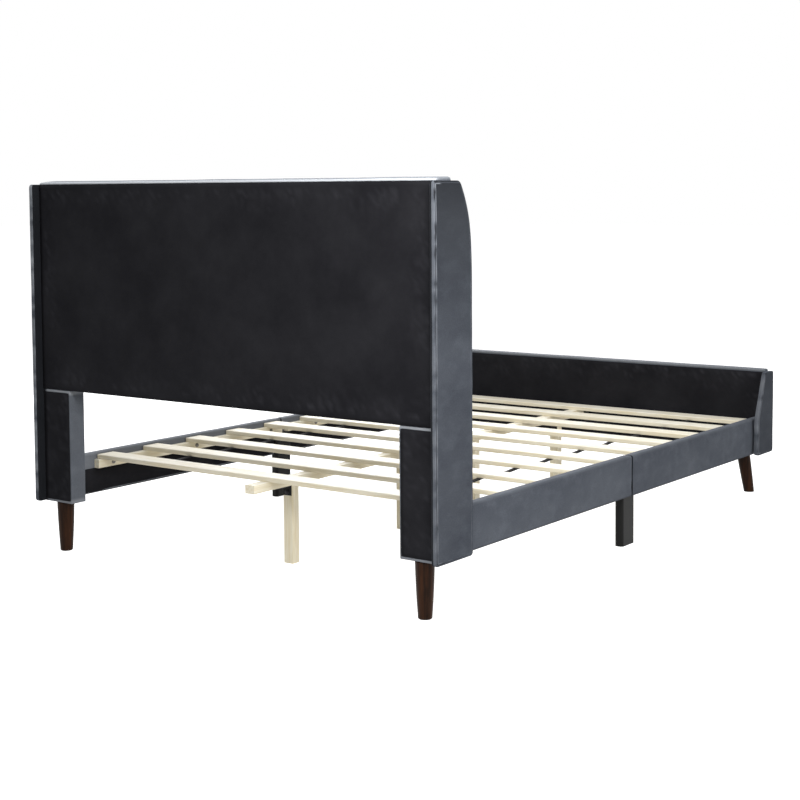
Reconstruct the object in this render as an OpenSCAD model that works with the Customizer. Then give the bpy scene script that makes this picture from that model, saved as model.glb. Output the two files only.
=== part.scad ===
// Upholstered platform bed for a full-size mattress, in millimetres.
// The headboard is at +Y, the foot at -Y, and left is -X.
// The origin is on the floor under the middle of the bed.

/* [Overall] */
// Width over the outside of the wings
overall_width = 1485; // [1300:5:1800]
// Length from the back of the headboard wings to the outside of the footboard
overall_length = 2066; // [1980:2:2200]
// Height of every underside above the floor, which is also the length of the turned legs
ground_clearance = 150; // [120:5:200]

/* [Upholstery] */
// Thickness of a velvet cover with its thin foam
fabric = 2; // [1.5:0.5:3]
// Thickness of the black dust covers and liners
liner = 1; // [0.8:0.2:1.6]
// Clearance left beside parts that only slide past each other
slip = 0.5; // [0.3:0.1:1]

/* [Wings] */
// Thickness of the board inside each wing
wing_board = 11; // [9:1:15]
// Height of the headboard wings above the floor
wing_top = 1103; // [950:5:1250]
// Depth of a headboard wing over its straight lower part
head_wing_depth = 163; // [150:1:200]
// Depth of a headboard wing at its top
head_wing_top_depth = 108; // [80:1:140]
// Height over which the front edge of a headboard wing curves back
head_wing_curve = 300; // [150:10:450]
// How far the headboard wings stand out behind the back of the headboard
wing_overhang = 27; // [10:1:40]
// Depth of a footboard wing beside the rail
foot_wing_depth = 118; // [95:1:150]
// Depth of a footboard wing at its top
foot_wing_top_depth = 61; // [50:1:80]
// Radius of the wing corners
wing_corner = 12; // [8:1:20]

/* [Headboard] */
// Height of the lower edge of the headboard above the floor
headboard_bottom = 490; // [420:5:600]
// How far the padded top of the headboard rises above the wings
headboard_rise = 10; // [5:1:16]
// Depth of the headboard battens
batten_depth = 37; // [28:1:45]
// Width of the headboard battens
batten_width = 45; // [35:1:60]
// Thickness of the plywood sheet on the front of the battens
plywood = 5; // [4:1:9]
// Thickness of the headboard padding at its edges
headboard_pad = 28; // [20:1:40]
// Crown of the headboard padding above its edges
headboard_crown = 12; // [6:1:16]
// Width of the posts under the headboard
post_width = 117; // [95:1:140]
// Depth of the posts under the headboard
post_depth = 55; // [50:1:65]

/* [Footboard] */
// Height of the footboard wings above the floor
foot_wing_top = 437; // [370:1:520]
// How far the padded top of the footboard rises above its wings
footboard_rise = 8; // [4:1:14]
// Thickness of the board inside the footboard
footboard_board = 22; // [18:1:28]
// Thickness of the footboard padding at its edges
footboard_pad = 12; // [8:1:20]
// Crown of the footboard padding above its edges
footboard_crown = 8; // [4:1:12]

/* [Rails] */
// Height of the side rails
rail_height = 124; // [110:1:150]
// Thickness of the board inside a side rail
rail_board = 22; // [18:1:28]
// Distance from the outside of a wing to the outside of a rail
rail_inset = 25; // [20:1:30]
// How far the padded outside of a rail bulges
rail_bulge = 3; // [1:0.5:5]
// Length of the rail halves at the headboard end
rail_head_length = 980; // [900:5:1040]
// Gap between the two halves of a rail
rail_joint_gap = 2; // [1:0.5:4]
// Width of the velvet turned over each rail end on the inside
end_return = 15; // [10:1:25]

/* [Ledgers and slats] */
// Thickness of the ledger strips
ledger_thickness = 20; // [15:1:28]
// Height of the ledger strips
ledger_height = 27; // [22:1:32]
// Distance from the post to the start of a ledger
ledger_start = 108; // [95:1:130]
// Width of a slat
slat_width = 67; // [50:1:80]
// Thickness of a slat
slat_thickness = 14; // [10:1:18]
// Distance from the post to the first slat
first_slat = 118; // [112:1:130]
// Distance from the last slat to the footboard
last_slat = 26; // [10:1:60]
// How far the slats lie below the top of the rails
slat_drop = 5; // [3:0.5:10]
// Distance of each slat strap from the middle of the bed
strap_offset = 480; // [300:10:560]
// Width of a slat strap
strap_width = 20; // [15:1:30]

/* [Centre beam] */
// Width of the centre beam
beam_width = 34; // [28:1:45]
// Height of the centre beam
beam_height = 25; // [20:1:35]
// Distance from the post to the free end of the centre beam
beam_start = 58; // [50:1:80]
// Distance from the rail joint to the inner pair of centre legs
inner_leg = 200; // [120:5:300]
// Distance from the free end of the centre beam to the first centre leg
first_leg = 177; // [100:1:300]
// Distance from the footboard to the last centre leg
last_leg = 216; // [100:1:300]
// Width of a centre leg across the bed
centre_leg_width = 34; // [28:1:45]
// Depth of a centre leg along the bed
centre_leg_depth = 30; // [24:1:40]

/* [Legs] */
// Diameter of a turned headboard leg at its top
head_leg_top = 51; // [42:1:52]
// Diameter of a turned headboard leg at its foot
head_leg_foot = 37; // [28:1:40]
// Diameter of a turned foot leg at its top
foot_leg_top = 46; // [38:1:50]
// Diameter of a turned foot leg at its foot
foot_leg_foot = 35; // [28:1:40]
// Splay of the foot legs from the vertical, in degrees
splay = 9; // [0:0.5:12]
// Distance of a foot leg's top from the outside of the wing
foot_leg_side = 100; // [90:1:120]
// Width of a middle leg along the rail
middle_leg_width = 78; // [60:1:90]
// Thickness of a middle leg
middle_leg_thickness = 28; // [24:1:35]
// Width of the shoulder on which a middle leg carries the rail
middle_leg_shoulder = 15.5; // [10:0.5:17]

/* [Fasteners] */
// Diameter of the leg and wing bolts
stud = 8; // [6:1:8]
// Diameter of the rail, ledger and bracket bolts
bolt = 6; // [5:1:6]
// Thickness of the steel brackets and plates
steel = 2.5; // [2:0.5:3]

/* [Hidden] */
$fn = 48;

// Small shared sizes
edge_round = 3;
post_round = 2.5;
top_lip = 9;
cover_border = 1;
post_lip = 7;
rail_border = 4;
stud_reach = 34;
bolt_head = 14;
bolt_head_height = 4;
bracket_leg = 50;
bracket_height = 38;
bracket_hole = 14;
bolt_grip = 13;
slat_gap = 2;
slat_edge = 3;
strap_end = 10;
strap_thickness = 1.2;
block_gap = 4;
block_margin = 17;
block_depth = 24;
centre_hole = 10;
beam_bracket = 30;
beam_plate_length = 140;
splay_turn = 38;
stud_cover = 1.5;
post_stud = 60;
panel_stud = 100;
footboard_stud = 70;
ledger_bolt_ends = [[60, 60], [153, 44]];
middle_leg_bolt_levels = [16, 52];
hanger_hole = 7;
hanger_wing = 18;
hanger_seat = 40;

// Heights
rail_bottom = ground_clearance;
rail_top = rail_bottom + rail_height;
slat_top = rail_top - slat_drop;
deck = slat_top - slat_thickness;
ledger_bottom = deck - ledger_height;
beam_bottom = deck - beam_height;
bracket_bottom = ledger_bottom - bracket_height - steel;
headboard_top = wing_top + headboard_rise;
footboard_top = foot_wing_top + footboard_rise;

// Places along the bed, from the headboard to the foot
back = overall_length / 2;
foot = -overall_length / 2;
panel_back = back - wing_overhang;
batten_back = panel_back - liner;
plywood_back = batten_back - batten_depth;
pad_back = plywood_back - plywood;
post_front = panel_back - post_depth;
footboard_thickness = liner + footboard_board + footboard_pad + footboard_crown;
footboard_inner = foot + footboard_thickness;
core_back = footboard_inner - liner;
rail_joint = post_front - rail_head_length;
slat_count = 10;
slat_pitch = (post_front - first_slat - footboard_inner - last_slat - slat_width) / (slat_count - 1);

// Places across the bed
wing_thickness = wing_board + 2 * fabric;
wing_outer = overall_width / 2;
wing_inner = wing_outer - wing_thickness;
panel_half = wing_inner - slip;
rail_outer = wing_outer - rail_inset;
rail_board_outer = rail_outer - rail_bulge - fabric;
rail_board_inner = rail_board_outer - rail_board;
rail_inner = rail_board_inner - liner;
ledger_inner = rail_board_inner - ledger_thickness;
middle_leg_inside = middle_leg_thickness - middle_leg_shoulder;
slat_half = rail_inner - slat_gap;
post_inner = wing_inner - post_width;

walnut = "#3a2320";
pine = "#ead9b4";
velvet = "#5a5f69";
black_cloth = "#242529";
black_steel = "#1c1c1e";
zinc = "#b9bcc0";

// Points of an arc from angle a to angle b
function arc(c, r, a, b, n) = [for (i = [0:n]) c + r * [cos(a + (b - a) * i / n), sin(a + (b - a) * i / n)]];

// Rounded convex corner at q between p and s, walked anticlockwise and drawn in by d
function corner(p, q, s, r, d, n) =
    let (u = (p - q) / norm(p - q),
        v = (s - q) / norm(s - q),
        half = acos(u * v) / 2,
        c = q + (u + v) / norm(u + v) * r / sin(half),
        first = q + u * r / tan(half) - c,
        last = q + v * r / tan(half) - c,
        a = atan2(first[1], first[0]),
        b = atan2(last[1], last[0]))
    arc(c, r - d, a, b < a ? b + 360 : b, n);

// Rectangle with round corners, walked anticlockwise
function rounded_rect(x0, x1, y0, y1, r, n) = concat(
    arc([x1 - r, y0 + r], r, -90, 0, n),
    arc([x1 - r, y1 - r], r, 0, 90, n),
    arc([x0 + r, y1 - r], r, 90, 180, n),
    arc([x0 + r, y0 + r], r, 180, 270, n));

// Outline of a headboard wing in Y and Z, drawn in by d; its front edge follows a cubic
function head_wing_outline(d) =
    let (z0 = ground_clearance,
        z1 = wing_top,
        lean = head_wing_depth - head_wing_top_depth,
        start = z1 - head_wing_curve,
        top_front = [back - head_wing_top_depth, z1],
        slope = 3 * lean / head_wing_curve,
        below = top_front - [slope, 1] * 60,
        steps = 9)
    concat(
        corner([back - head_wing_depth, z0], [back, z0], [back, z1], wing_corner, d, 4),
        corner([back, z0], [back, z1], top_front, wing_corner, d, 4),
        corner([back, z1], top_front, below, wing_corner, d, 4),
        [for (i = [steps:-1:0])
            let (t = i / steps * (1 - 1.5 * wing_corner / head_wing_curve),
                y = back - head_wing_depth + lean * pow(t, 3),
                lay = atan(3 * lean * t * t / head_wing_curve))
            [y + d * cos(lay), start + head_wing_curve * t - d * sin(lay)]],
        corner([back - head_wing_depth, start], [back - head_wing_depth, z0], [back, z0],
            wing_corner, d, 4));

// Outline of a footboard wing in Y and Z, drawn in by d
function foot_wing_outline(d) =
    let (bottom_out = [foot, ground_clearance],
        bottom_in = [foot + foot_wing_depth, ground_clearance],
        knee = [foot + foot_wing_depth, rail_top],
        top_in = [foot + foot_wing_top_depth, foot_wing_top],
        top_out = [foot, foot_wing_top])
    concat(
        corner(top_out, bottom_out, bottom_in, wing_corner, d, 4),
        corner(bottom_out, bottom_in, knee, wing_corner, d, 4),
        corner(bottom_in, knee, top_in, wing_corner, d, 4),
        corner(knee, top_in, top_out, wing_corner, d, 4),
        corner(top_in, top_out, bottom_out, wing_corner, d, 4));

// Solid through a stack of outlines that all have the same number of points
module loft(rings) {
    n = len(rings[0]);
    last = len(rings) - 1;
    sides = [for (k = [0:last - 1], i = [0:n - 1], half = [0:1])
        let (a = k * n + i, b = k * n + (i + 1) % n)
        half == 0 ? [a, a + n, b + n] : [a, b + n, b]];
    polyhedron([for (ring = rings, p = ring) p],
        concat(sides, [[for (i = [0:n - 1]) i]], [[for (i = [n - 1:-1:0]) last * n + i]]));
}

// Mirrored copy for the right side, or the left side as drawn
module on_side(side) {
    mirror([side == "right" ? 1 : 0, 0, 0]) children();
}

// Bar along Y with eased edges
module bar_y(x0, x1, y0, y1, z0, z1, r) {
    translate([0, y1, 0]) rotate([90, 0, 0])
        linear_extrude(y1 - y0) polygon(rounded_rect(x0, x1, z0, z1, r, 3));
}

// Bar along X with eased edges
module bar_x(x0, x1, y0, y1, z0, z1, r) {
    translate([x0, 0, 0]) rotate([90, 0, 90])
        linear_extrude(x1 - x0) polygon(rounded_rect(y0, y1, z0, z1, r, 3));
}

// Box given by its two corners
module box(a, b) {
    translate(a) cube(b - a);
}

// Cylinder from a point along an axis
module rod(at, direction, length, d) {
    translate(at) rotate(direction == "x" ? [0, 90, 0] : direction == "y" ? [-90, 0, 0] : [0, 0, 0])
        cylinder(d = d, h = length);
}

// Bolt with a low round head, pointing along +Z
module round_bolt(length) {
    rotate_extrude() polygon(concat([[0, length], [bolt / 2, length], [bolt / 2, 0], [bolt_head / 2, 0]],
        [for (i = [0:4])
            [bolt_head / 2 * cos(i * 22.5), -bolt_head_height * (0.35 + 0.65 * sin(i * 22.5))]]));
}

// Places of the studs that hold the left wings, as Y, Z
head_stud_places = [[panel_back - post_depth / 2, ground_clearance + post_stud],
    [panel_back - post_depth / 2, headboard_bottom - post_stud],
    [batten_back - batten_depth / 2, headboard_bottom + panel_stud],
    [batten_back - batten_depth / 2, wing_top - panel_stud]];
foot_stud_places = [for (z = [ground_clearance + footboard_stud, foot_wing_top - footboard_stud])
    [core_back - footboard_board / 2, z]];

module wing_stud_holes(places) {
    for (p = places)
        rod([-wing_inner - fabric - wing_board / 2, p[0], p[1]], "x", wing_board / 2 + fabric + 1, stud);
}

// Outline of a wing at the headboard or at the foot, drawn in by d
function wing_outline(end, d) = end == "head" ? head_wing_outline(d) : foot_wing_outline(d);

module wing_board_left(end, places) {
    difference() {
        translate([-wing_outer + fabric, 0, 0]) rotate([90, 0, 90])
            linear_extrude(wing_board) polygon(wing_outline(end, fabric));
        wing_stud_holes(places);
    }
}

module wing_cover_left(end, places) {
    y0 = end == "head" ? back - head_wing_depth : foot;
    y1 = end == "head" ? back : foot + foot_wing_depth;
    steps = [[0, edge_round], [0.3, 0.3 * edge_round], [1, 0]];
    difference() {
        loft([for (k = [0:5])
            let (s = k < 3 ? steps[k] : steps[5 - k],
                x = k < 3 ? s[0] * edge_round : wing_thickness - s[0] * edge_round)
            [for (p = wing_outline(end, s[1])) [-wing_outer + x, p[0], p[1]]]]);
        translate([-wing_outer + fabric, 0, 0]) rotate([90, 0, 90])
            linear_extrude(wing_board) polygon(wing_outline(end, fabric));
        box([-wing_outer + fabric, y0 + wing_corner, ground_clearance - 1],
            [-wing_inner - fabric, y1 - wing_corner, ground_clearance + wing_corner]);
        wing_stud_holes(places);
    }
}

module left_head_wing_board() {
    color(pine) wing_board_left("head", head_stud_places);
}

module right_head_wing_board() {
    color(pine) on_side("right") wing_board_left("head", head_stud_places);
}

module left_head_wing_cover() {
    color(velvet) wing_cover_left("head", head_stud_places);
}

module right_head_wing_cover() {
    color(velvet) on_side("right") wing_cover_left("head", head_stud_places);
}

module foot_wing_boards() {
    color(pine) for (side = ["left", "right"])
        on_side(side) wing_board_left("foot", foot_stud_places);
}

module left_foot_wing_cover() {
    color(velvet) wing_cover_left("foot", foot_stud_places);
}

module right_foot_wing_cover() {
    color(velvet) on_side("right") wing_cover_left("foot", foot_stud_places);
}

panel_side = panel_half - fabric;
batten_bottom = headboard_bottom + fabric;
batten_top = headboard_top - top_lip;
bay = (2 * panel_side - 4 * batten_width) / 3;

module headboard_battens() {
    color(pine) difference() {
        box([-panel_side, plywood_back, batten_bottom], [panel_side, batten_back, batten_top]);
        for (i = [0:2])
            box([-panel_side + batten_width + i * (bay + batten_width), plywood_back - 1,
                batten_bottom + batten_width],
                [-panel_side + (i + 1) * (bay + batten_width), batten_back + 1, batten_top - batten_width]);
        for (side = ["left", "right"])
            on_side(side) headboard_stud_holes();
    }
}

module headboard_stud_holes() {
    for (p = [head_stud_places[2], head_stud_places[3]])
        rod([-wing_inner, p[0], p[1]], "x", stud_reach, stud);
}

module headboard_plywood() {
    color(pine) box([-panel_side, pad_back, batten_bottom], [panel_side, plywood_back, batten_top]);
}

// Padding with a crowned front, round edges and a pocket for the battens and the plywood
module headboard_padding() {
    depth = batten_back - pad_back + headboard_pad;
    // Each ring is its distance from the back, its draw-in at the sides and its draw-in at the top
    rings = [[0, 2, 6], [2, 0.5, 4], [6, 0, 3], [depth * 0.5, 0, 0], [depth - 18, 0, 0], [depth - 10, 2, 2],
        [depth - 4, 6, 6], [depth, 14, 14], [depth + 0.3 * headboard_crown, 40, 40],
        [depth + 0.6 * headboard_crown, 85, 85], [depth + 0.85 * headboard_crown, 150, 150],
        [depth + headboard_crown, 240, 240]];
    color(velvet) difference() {
        loft([for (r = rings)
            let (corner = min(14 + 0.6 * r[1], 0.45 * (headboard_top - headboard_bottom) - 0.9 * r[1]))
            [for (p = rounded_rect(-panel_half + r[1], panel_half - r[1],
                headboard_bottom + min(r[1], r[2]), headboard_top - r[2], corner, 6))
                [p[0], batten_back - r[0], p[1]]]]);
        box([-panel_side, pad_back, batten_bottom], [panel_side, batten_back + 1, batten_top]);
        for (side = ["left", "right"])
            on_side(side) headboard_stud_holes();
    }
}

module headboard_back_cover() {
    color(black_cloth) box([-panel_side + 1, batten_back, batten_bottom + cover_border],
        [panel_side - 1, panel_back, batten_top - cover_border]);
}

// Holes in a left post for the studs of the wing and of the turned leg
module post_stud_holes() {
    for (p = [head_stud_places[0], head_stud_places[1]])
        rod([-wing_inner - 1, p[0], p[1]], "x", stud_reach + 1, stud);
    rod([head_leg_x, head_leg_y, ground_clearance - 1], "z", stud_reach + 1, stud);
}

head_leg_x = -wing_inner + post_width / 2;
head_leg_y = panel_back - post_depth / 2;

module post_core_box() {
    box([-wing_inner + fabric, post_front + fabric, ground_clearance + fabric],
        [-post_inner - fabric, panel_back - liner, headboard_bottom - fabric]);
}

module head_post() {
    color(pine) difference() {
        post_core_box();
        post_stud_holes();
        corner_bolts("head", false);
    }
}

module post_cover() {
    color(velvet) difference() {
        translate([0, 0, ground_clearance]) linear_extrude(headboard_bottom - ground_clearance)
            polygon(rounded_rect(-wing_inner, -post_inner, post_front, panel_back, post_round, 3));
        post_core_box();
        box([-wing_inner + fabric, post_front + fabric, ground_clearance + post_lip],
            [-post_inner - fabric, panel_back + 1, headboard_bottom - post_lip]);
        post_stud_holes();
        corner_bolts("head", false);
    }
}

module left_head_post() {
    head_post();
}

module right_head_post() {
    on_side("right") head_post();
}

module left_post_cover() {
    post_cover();
}

module right_post_cover() {
    on_side("right") post_cover();
}

module post_back_covers() {
    color(black_cloth) for (side = ["left", "right"])
        on_side(side) box([-wing_inner + fabric, panel_back - liner, ground_clearance + post_lip],
            [-post_inner - fabric, panel_back, headboard_bottom - post_lip]);
}

// Tapered leg with a slight swell, a round shoulder and an eased foot
module turned_leg(top_d, foot_d, height) {
    ease = 2.5;
    swell = 0.8;
    rotate_extrude() polygon(concat(
        [[0, 0], [foot_d / 2 - ease, 0]],
        [for (i = [0:8])
            let (t = i / 8)
            [foot_d / 2 + (top_d - foot_d) / 2 * t + swell * sin(180 * t), ease + (height - 2 * ease) * t]],
        [[top_d / 2 - ease, height], [0, height]]));
}

module head_leg() {
    color(walnut) difference() {
        translate([head_leg_x, head_leg_y, 0]) turned_leg(head_leg_top, head_leg_foot, ground_clearance);
        rod([head_leg_x, head_leg_y, ground_clearance - stud_reach], "z", stud_reach + 1, stud);
    }
}

module left_head_leg() {
    head_leg();
}

module right_head_leg() {
    on_side("right") head_leg();
}

// Middle of a foot leg's top, as far back as the board lets its stud go
foot_leg_place = [-wing_outer + foot_leg_side,
    core_back - stud / 2 - stud_cover - stud_reach * sin(splay) * sin(splay_turn), ground_clearance];

// Tilts its children about the top of the foot leg, outward and toward the foot
module splayed() {
    translate(foot_leg_place) rotate([0, 0, splay_turn]) rotate([0, splay, 0]) children();
}

module foot_leg() {
    extra = foot_leg_top;
    color(walnut) difference() {
        intersection() {
            splayed() translate([0, 0, -ground_clearance - 8])
                turned_leg(foot_leg_top + 1, foot_leg_foot, ground_clearance + 16);
            box([-wing_outer - extra, foot - extra, 0], [0, 0, ground_clearance]);
        }
        splayed() translate([0, 0, -stud_reach]) cylinder(d = stud, h = stud_reach + 20);
    }
}

module left_foot_leg() {
    foot_leg();
}

module right_foot_leg() {
    on_side("right") foot_leg();
}

// Block behind the footboard that takes the top of a foot leg
module foot_leg_blocks() {
    color(pine) for (side = ["left", "right"])
        on_side(side) box([-rail_inner + slip, footboard_inner, ground_clearance],
            [foot_leg_place[0] + foot_leg_top / 2 + block_margin, footboard_inner + block_depth,
            bracket_bottom - block_gap]);
}

core_side = panel_half - fabric;
core_top = footboard_top - top_lip;

module footboard_holes() {
    for (p = foot_stud_places)
        rod([-wing_inner - 1, p[0], p[1]], "x", stud_reach + 1, stud);
    splayed() translate([0, 0, -10]) cylinder(d = stud, h = stud_reach + 10);
    corner_bolts("foot", false);
}

module footboard_core() {
    color(pine) difference() {
        box([-core_side, core_back - footboard_board, ground_clearance + fabric],
            [core_side, core_back, core_top]);
        for (side = ["left", "right"])
            on_side(side) footboard_holes();
        hanger_bolts(false);
    }
}

module footboard_padding() {
    depth = footboard_board + footboard_pad;
    rings = [[0, 1, 4], [3, 0, 1.5], [depth * 0.6, 0, 0], [depth - 9, 0, 0], [depth - 4, 2, 2],
        [depth - 1, 6, 6], [depth + 0.15 * footboard_crown, 14, 14],
        [depth + 0.55 * footboard_crown, 40, 40], [depth + 0.85 * footboard_crown, 75, 75],
        [depth + footboard_crown, 115, 115]];
    color(velvet) difference() {
        loft([for (r = rings)
            let (corner = min(10 + 0.5 * r[1], 0.45 * (footboard_top - ground_clearance) - 0.9 * r[1]))
            [for (p = rounded_rect(-panel_half + r[1], panel_half - r[1],
                ground_clearance + min(r[1], r[2]), footboard_top - r[2], corner, 6))
                [p[0], core_back - r[0], p[1]]]]);
        box([-core_side, core_back - footboard_board, ground_clearance + fabric],
            [core_side, core_back + 1, core_top]);
        for (side = ["left", "right"])
            on_side(side) footboard_holes();
    }
}

module footboard_inner_cover() {
    color(black_cloth) difference() {
        box([-core_side + 1, core_back, ground_clearance + fabric + cover_border],
            [core_side - 1, footboard_inner, core_top - 1]);
        for (side = ["left", "right"])
            on_side(side) corner_bolts("foot", false);
        hanger_bolts(false);
    }
}

// Ends of a rail half along Y, as low and high values
function rail_span(end) = end == "head" ?
    [rail_joint + rail_joint_gap / 2, post_front] :
    [footboard_inner, rail_joint - rail_joint_gap / 2];

module rail_board_left(end) {
    span = rail_span(end);
    color(pine) difference() {
        box([-rail_board_outer, span[0] + fabric, rail_bottom + fabric],
            [-rail_board_inner, span[1] - fabric, rail_top - fabric]);
        rail_bolt_holes(end);
    }
}

module rail_bolt_holes(end) {
    middle_leg_bolts(false);
    rail_side_bolts(false);
    for (y = ledger_bolt_places(end))
        rod([-rail_board_inner - bolt_grip, y, deck - ledger_height / 2], "x", bolt_grip + 1, bolt);
}

// Section of a rail with a bulging outer side and rounded upper and lower edges, as X, Z
rail_section = let (r = 8, mid = (rail_top + rail_bottom) / 2, reach = rail_height / 2 - r) concat(
    arc([-rail_outer + rail_bulge + r, rail_bottom + r], r, 270, 180, 4),
    [for (i = [1:5])
        let (t = i / 3 - 1)
        [-rail_outer + rail_bulge * t * t, mid + reach * t]],
    arc([-rail_outer + rail_bulge + r, rail_top - r], r, 180, 90, 4),
    arc([-rail_inner - 3, rail_top - 3], 3, 90, 0, 3),
    arc([-rail_inner - 3, rail_bottom + 3], 3, 0, -90, 3));

module rail_cover_left(end) {
    span = rail_span(end);
    color(velvet) difference() {
        translate([0, span[1], 0]) rotate([90, 0, 0])
            linear_extrude(span[1] - span[0])
                polygon([for (i = [len(rail_section) - 1:-1:0]) rail_section[i]]);
        box([-rail_board_outer, span[0] + fabric, rail_bottom + fabric],
            [-rail_board_inner, span[1] - fabric, rail_top - fabric]);
        box([-rail_board_inner - 1, span[0] + end_return, rail_bottom + rail_border],
            [-rail_inner + 1, span[1] - end_return, deck]);
    }
}

// Black lining of a rail half below its ledger
module rail_liner_left(end) {
    span = rail_span(end);
    color(black_cloth) difference() {
        box([-rail_board_inner, span[0] + end_return, rail_bottom + rail_border],
            [-rail_board_inner + liner, span[1] - end_return, ledger_bottom]);
        middle_leg_bolts(false);
        rail_side_bolts(false);
    }
}

module left_head_rail() {
    rail_board_left("head");
}

module left_foot_rail() {
    rail_board_left("foot");
}

module right_head_rail() {
    on_side("right") rail_board_left("head");
}

module right_foot_rail() {
    on_side("right") rail_board_left("foot");
}

module left_head_rail_cover() {
    rail_cover_left("head");
}

module left_foot_rail_cover() {
    rail_cover_left("foot");
}

module right_head_rail_cover() {
    on_side("right") rail_cover_left("head");
}

module right_foot_rail_cover() {
    on_side("right") rail_cover_left("foot");
}

module left_rail_liners() {
    for (end = ["head", "foot"])
        rail_liner_left(end);
}

module right_rail_liners() {
    for (end = ["head", "foot"])
        on_side("right") rail_liner_left(end);
}

// Ends of a ledger along Y; it stops short of the velvet turned over the rail ends
function ledger_span(end) = end == "head" ?
    [rail_joint + end_return + 1, post_front - ledger_start] :
    [footboard_inner + end_return + 1, rail_joint - end_return - 1];

// Three bolts along each ledger, with the distances of the outer ones from its ends
function ledger_bolt_places(end) =
    let (span = ledger_span(end), ends = end == "head" ? ledger_bolt_ends[0] : ledger_bolt_ends[1])
    [for (i = [0:2]) span[1] - ends[0] - i * (span[1] - span[0] - ends[0] - ends[1]) / 2];

module ledger_left(end) {
    span = ledger_span(end);
    color(pine) difference() {
        bar_y(-rail_board_inner, -ledger_inner, span[0], span[1], ledger_bottom, deck, 1.5);
        for (y = ledger_bolt_places(end))
            rod([-rail_board_inner - 1, y, deck - ledger_height / 2], "x", ledger_thickness + 2, bolt);
    }
}

module left_ledgers() {
    for (end = ["head", "foot"])
        ledger_left(end);
}

module right_ledgers() {
    for (end = ["head", "foot"])
        on_side("right") ledger_left(end);
}

module ledger_bolts() {
    color(zinc) for (side = ["left", "right"], end = ["head", "foot"], y = ledger_bolt_places(end))
        on_side(side) translate([-ledger_inner, y, deck - ledger_height / 2]) rotate([0, -90, 0])
            round_bolt(ledger_thickness + bolt_grip);
}

// Four bolts through the upper part of a left middle leg into the two rail halves
module middle_leg_bolts(heads) {
    length = middle_leg_inside + liner + bolt_grip;
    for (y = [-0.28, 0.28], z = middle_leg_bolt_levels)
        translate([-rail_inner + middle_leg_inside, rail_joint + y * middle_leg_width, rail_bottom + z])
            rotate([0, -90, 0])
                if (heads) round_bolt(length);
                else cylinder(d = bolt, h = length);
}

// Flat leg with a shoulder under the rail and a thinner upper part behind it
module middle_leg() {
    outer = -rail_inner - middle_leg_shoulder;
    half = middle_leg_width / 2;
    color(black_steel) difference() {
        linear_extrude(ledger_bottom) polygon(rounded_rect(outer, outer + middle_leg_thickness,
            rail_joint - half, rail_joint + half, 9, 5));
        box([outer - 1, rail_joint - half - 1, rail_bottom],
            [-rail_inner, rail_joint + half + 1, ledger_bottom + 1]);
        middle_leg_bolts(false);
    }
}

module left_middle_leg() {
    middle_leg();
}

module right_middle_leg() {
    on_side("right") middle_leg();
}

// Y face of the post or the footboard, and the direction into the bed
function corner_face(end) = end == "head" ? post_front : footboard_inner;
function inward(end) = end == "head" ? -1 : 1;

bracket_levels = [bracket_bottom + bracket_height * 0.27, bracket_bottom + bracket_height * 0.73];

// Steel angle between the end of a rail and the post or the footboard
module corner_bracket(end) {
    face = corner_face(end);
    way = inward(end);
    difference() {
        union() {
            box([-rail_inner, min(face, face + way * bracket_leg), bracket_bottom],
                [-rail_inner + steel, max(face, face + way * bracket_leg), bracket_bottom + bracket_height]);
            box([-rail_inner, min(face, face + way * steel), bracket_bottom],
                [-rail_inner + bracket_leg, max(face, face + way * steel), bracket_bottom + bracket_height]);
        }
        corner_bolts(end, false);
        rail_side_bolts(false);
    }
}

module corner_brackets() {
    color(black_steel) for (side = ["left", "right"], end = ["head", "foot"])
        on_side(side) corner_bracket(end);
}

// Bolts through a bracket into the post or the footboard, or only their holes
module corner_bolts(end, heads) {
    way = inward(end);
    length = steel + liner + bolt_grip;
    for (z = bracket_levels)
        translate([-rail_inner + bracket_leg - bracket_hole, corner_face(end) + way * steel, z])
            rotate([way * 90, 0, 0])
                if (heads) round_bolt(length);
                else cylinder(d = bolt, h = length);
}

// Bolts through the brackets into the left rails, or only their holes
module rail_side_bolts(heads) {
    length = steel + liner + bolt_grip;
    for (end = ["head", "foot"], z = bracket_levels)
        translate([-rail_inner + steel, corner_face(end) + inward(end) * (bracket_leg - bracket_hole), z])
            rotate([0, -90, 0])
                if (heads) round_bolt(length);
                else cylinder(d = bolt, h = length);
}

module frame_bolts() {
    color(zinc) {
        for (side = ["left", "right"])
            on_side(side) {
                middle_leg_bolts(true);
                rail_side_bolts(true);
                for (end = ["head", "foot"])
                    corner_bolts(end, true);
            }
        for (y = centre_leg_places)
            leg_bracket_bolts(y);
        hanger_bolts(true);
        for (y = beam_plate_bolts)
            translate([0, y, beam_bottom - steel]) round_bolt(steel + bolt_grip);
    }
}

beam_head = post_front - beam_start;
centre_leg_places = [beam_head - first_leg, rail_joint + inner_leg, rail_joint - inner_leg,
    footboard_inner + last_leg];
beam_plate_bolts = [for (s = [-1, 1], k = [0.2, 0.4]) rail_joint + s * k * beam_plate_length];

module beam_holes() {
    for (y = beam_plate_bolts)
        rod([0, y, beam_bottom - 1], "z", bolt_grip + 1, bolt);
    for (y = centre_leg_places)
        rod([0, y + centre_leg_depth / 2 + beam_bracket - centre_hole, beam_bottom - 1], "z",
            bolt_grip + 1, bolt);
}

module centre_beam_head() {
    color(pine) difference() {
        bar_y(-beam_width / 2, beam_width / 2, rail_joint, beam_head, beam_bottom, deck, 2);
        beam_holes();
    }
}

module centre_beam_foot() {
    color(pine) difference() {
        bar_y(-beam_width / 2, beam_width / 2, footboard_inner + steel, rail_joint, beam_bottom, deck, 2);
        beam_holes();
    }
}

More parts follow.
